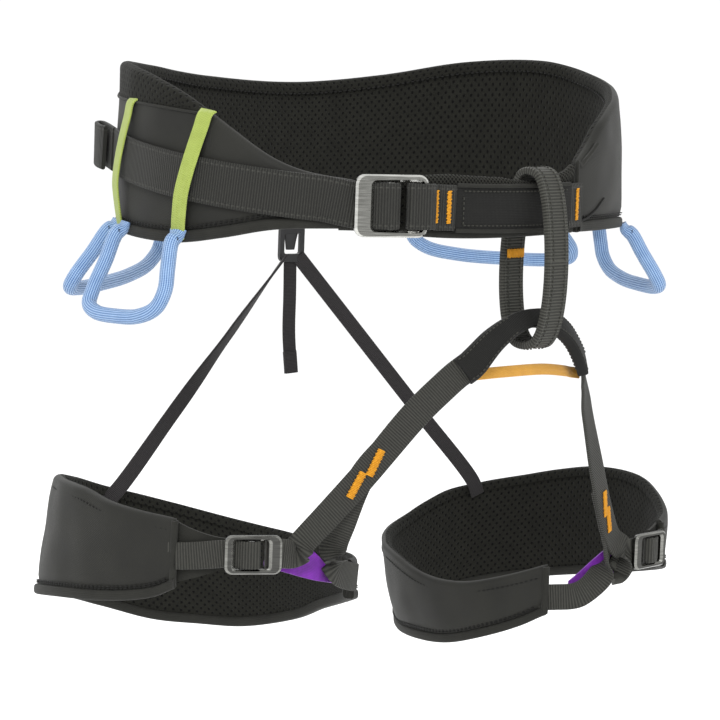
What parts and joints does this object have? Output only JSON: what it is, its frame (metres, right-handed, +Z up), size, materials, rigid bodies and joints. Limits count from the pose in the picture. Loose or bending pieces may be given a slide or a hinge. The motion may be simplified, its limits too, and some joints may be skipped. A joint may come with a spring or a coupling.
{
  "type": "climbing harness",
  "caption": "Climbing harness with a padded waist belt, slide-bar buckles, gear loops, a belay loop, risers, adjustable leg loops, and rear elastics held on a clip.",
  "frame": {"origin": "middle of the waist ring, at the level of the waist webbing", "axes": "+Z up along the wearer's body, -Y the way the wearer faces, +X towards the wearer's left hand"},
  "size_m": [0.4238, 0.2865, 0.3501],
  "materials": {
    "shell_fabric": "woven twill",
    "spacer_mesh": "perforated mesh",
    "binding_fabric": "woven",
    "black_webbing": "ribbed webbing",
    "black_elastic": "ribbed elastic",
    "lime_webbing": "fine webbing",
    "blue_tube": "woven over a plastic tube",
    "amber_webbing": "fine webbing",
    "purple_mesh": "stretch mesh",
    "bright_steel": "brushed",
    "dark_steel": "dark finish, bevelled edges",
    "black_plastic": "moulded"
  },
  "bodies": {
    "waist_belt": {"waist_lining": "spacer_mesh", "waist_shell": "shell_fabric", "waist_hem_binding": "binding_fabric", "front_pad": "spacer_mesh", "waist_webbing": "black_webbing", "buckle_strap": "black_webbing", "tie_in_sleeve": "binding_fabric", "left_webbing_end": "black_webbing", "webbing_end_stop": "black_webbing", "waist_buckle_frame": "bright_steel", "keeper_strap_front": "lime_webbing", "keeper_strap_rear": "lime_webbing", "leg_bridge_sleeve": "binding_fabric", "bridge_keeper": "amber_webbing", "rear_clip_tab": "black_webbing", "rear_clip_body": "black_plastic", "elastic_left": "black_elastic", "elastic_right": "black_elastic"},
    "waist_buckle_bar": {"waist_buckle_slide_bar": "dark_steel"},
    "right_front_gear_loop": {"gear_loop_right_front": "blue_tube"},
    "right_rear_gear_loop": {"gear_loop_right_rear": "blue_tube"},
    "left_front_gear_loop": {"gear_loop_left_front": "blue_tube"},
    "left_rear_gear_loop": {"gear_loop_left_rear": "blue_tube"},
    "belay_ring": {"belay_loop": "black_webbing"},
    "right_leg_loop": {"leg_right_lining": "spacer_mesh", "leg_right_shell": "shell_fabric", "leg_right_webbing": "black_webbing", "leg_right_fork_outer": "black_webbing", "leg_right_fork_inner": "black_webbing", "leg_right_gusset": "purple_mesh", "leg_right_buckle_frame": "dark_steel", "riser_right": "black_webbing"},
    "right_leg_buckle_bar": {"leg_right_buckle_slide_bar": "dark_steel"},
    "left_leg_loop": {"leg_left_lining": "spacer_mesh", "leg_left_shell": "shell_fabric", "leg_left_webbing": "black_webbing", "leg_left_fork_outer": "black_webbing", "leg_left_fork_inner": "black_webbing", "leg_left_gusset": "purple_mesh", "leg_left_buckle_frame": "dark_steel", "riser_left": "black_webbing"},
    "left_leg_buckle_bar": {"leg_left_buckle_slide_bar": "dark_steel"},
    "hanging_tail": {"elastic_tail": "black_elastic"},
    "clip_latch": {"rear_clip_latch": "black_plastic"}
  },
  "joints": [
    {"name": "waist_buckle_bar_slide", "type": "slide", "parent": "waist_belt", "child": "waist_buckle_bar", "axis": [0.883, -0.4693, 0], "range_m": [-0.004, 0.004]},
    {"name": "right_front_gear_loop_swing", "type": "hinge", "parent": "waist_belt", "child": "right_front_gear_loop", "pos_m": [-0.16774, -0.01633, -0.042], "axis": [0.0988, 0.9951, 0], "range_deg": [-15, 60], "stiffness_Nm_per_rad": 0.02},
    {"name": "right_rear_gear_loop_swing", "type": "hinge", "parent": "waist_belt", "child": "right_rear_gear_loop", "pos_m": [-0.04658, 0.12881, -0.042], "axis": [0.8234, 0.5675, 0], "range_deg": [-15, 60], "stiffness_Nm_per_rad": 0.02},
    {"name": "left_front_gear_loop_swing", "type": "hinge", "parent": "waist_belt", "child": "left_front_gear_loop", "pos_m": [0.16589, -0.02557, -0.042], "axis": [-0.5155, -0.8569, 0], "range_deg": [-15, 60], "stiffness_Nm_per_rad": 0.02},
    {"name": "left_rear_gear_loop_swing", "type": "hinge", "parent": "waist_belt", "child": "left_rear_gear_loop", "pos_m": [0.1236, 0.09139, -0.042], "axis": [0.4896, -0.8719, 0], "range_deg": [-15, 60], "stiffness_Nm_per_rad": 0.02},
    {"name": "belay_loop_swing", "type": "hinge", "parent": "waist_belt", "child": "belay_ring", "pos_m": [0, -0.1295, -0.002], "axis": [1, 0, 0], "range_deg": [-3, 1]},
    {"name": "right_leg_lift", "type": "hinge", "parent": "waist_belt", "child": "right_leg_loop", "pos_m": [0, -0.127, -0.11], "axis": [1, 0, 0], "range_deg": [0, 20], "deforming": ["elastic_right"]},
    {"name": "left_leg_lift", "type": "hinge", "parent": "waist_belt", "child": "left_leg_loop", "pos_m": [0, -0.127, -0.11], "axis": [1, 0, 0], "range_deg": [0, 20], "deforming": ["elastic_left"]},
    {"name": "right_leg_buckle_bar_slide", "type": "slide", "parent": "right_leg_loop", "child": "right_leg_buckle_bar", "axis": [-0.849, 0.5285, 0], "range_m": [-0.004, 0.004]},
    {"name": "left_leg_buckle_bar_slide", "type": "slide", "parent": "left_leg_loop", "child": "left_leg_buckle_bar", "axis": [0.9948, 0.1019, 0], "range_m": [-0.004, 0.004]},
    {"name": "hanging_tail_swing", "type": "hinge", "parent": "waist_belt", "child": "hanging_tail", "pos_m": [0.04707, 0.12049, -0.0754], "axis": [-0.9722, 0.2342, 0], "range_deg": [-30, 30]},
    {"name": "clip_latch_press", "type": "hinge", "parent": "waist_belt", "child": "clip_latch", "pos_m": [0.04707, 0.12049, -0.0567], "axis": [-0.9722, 0.2342, 0], "range_deg": [0, 12], "stiffness_Nm_per_rad": 0.02}
  ]
}
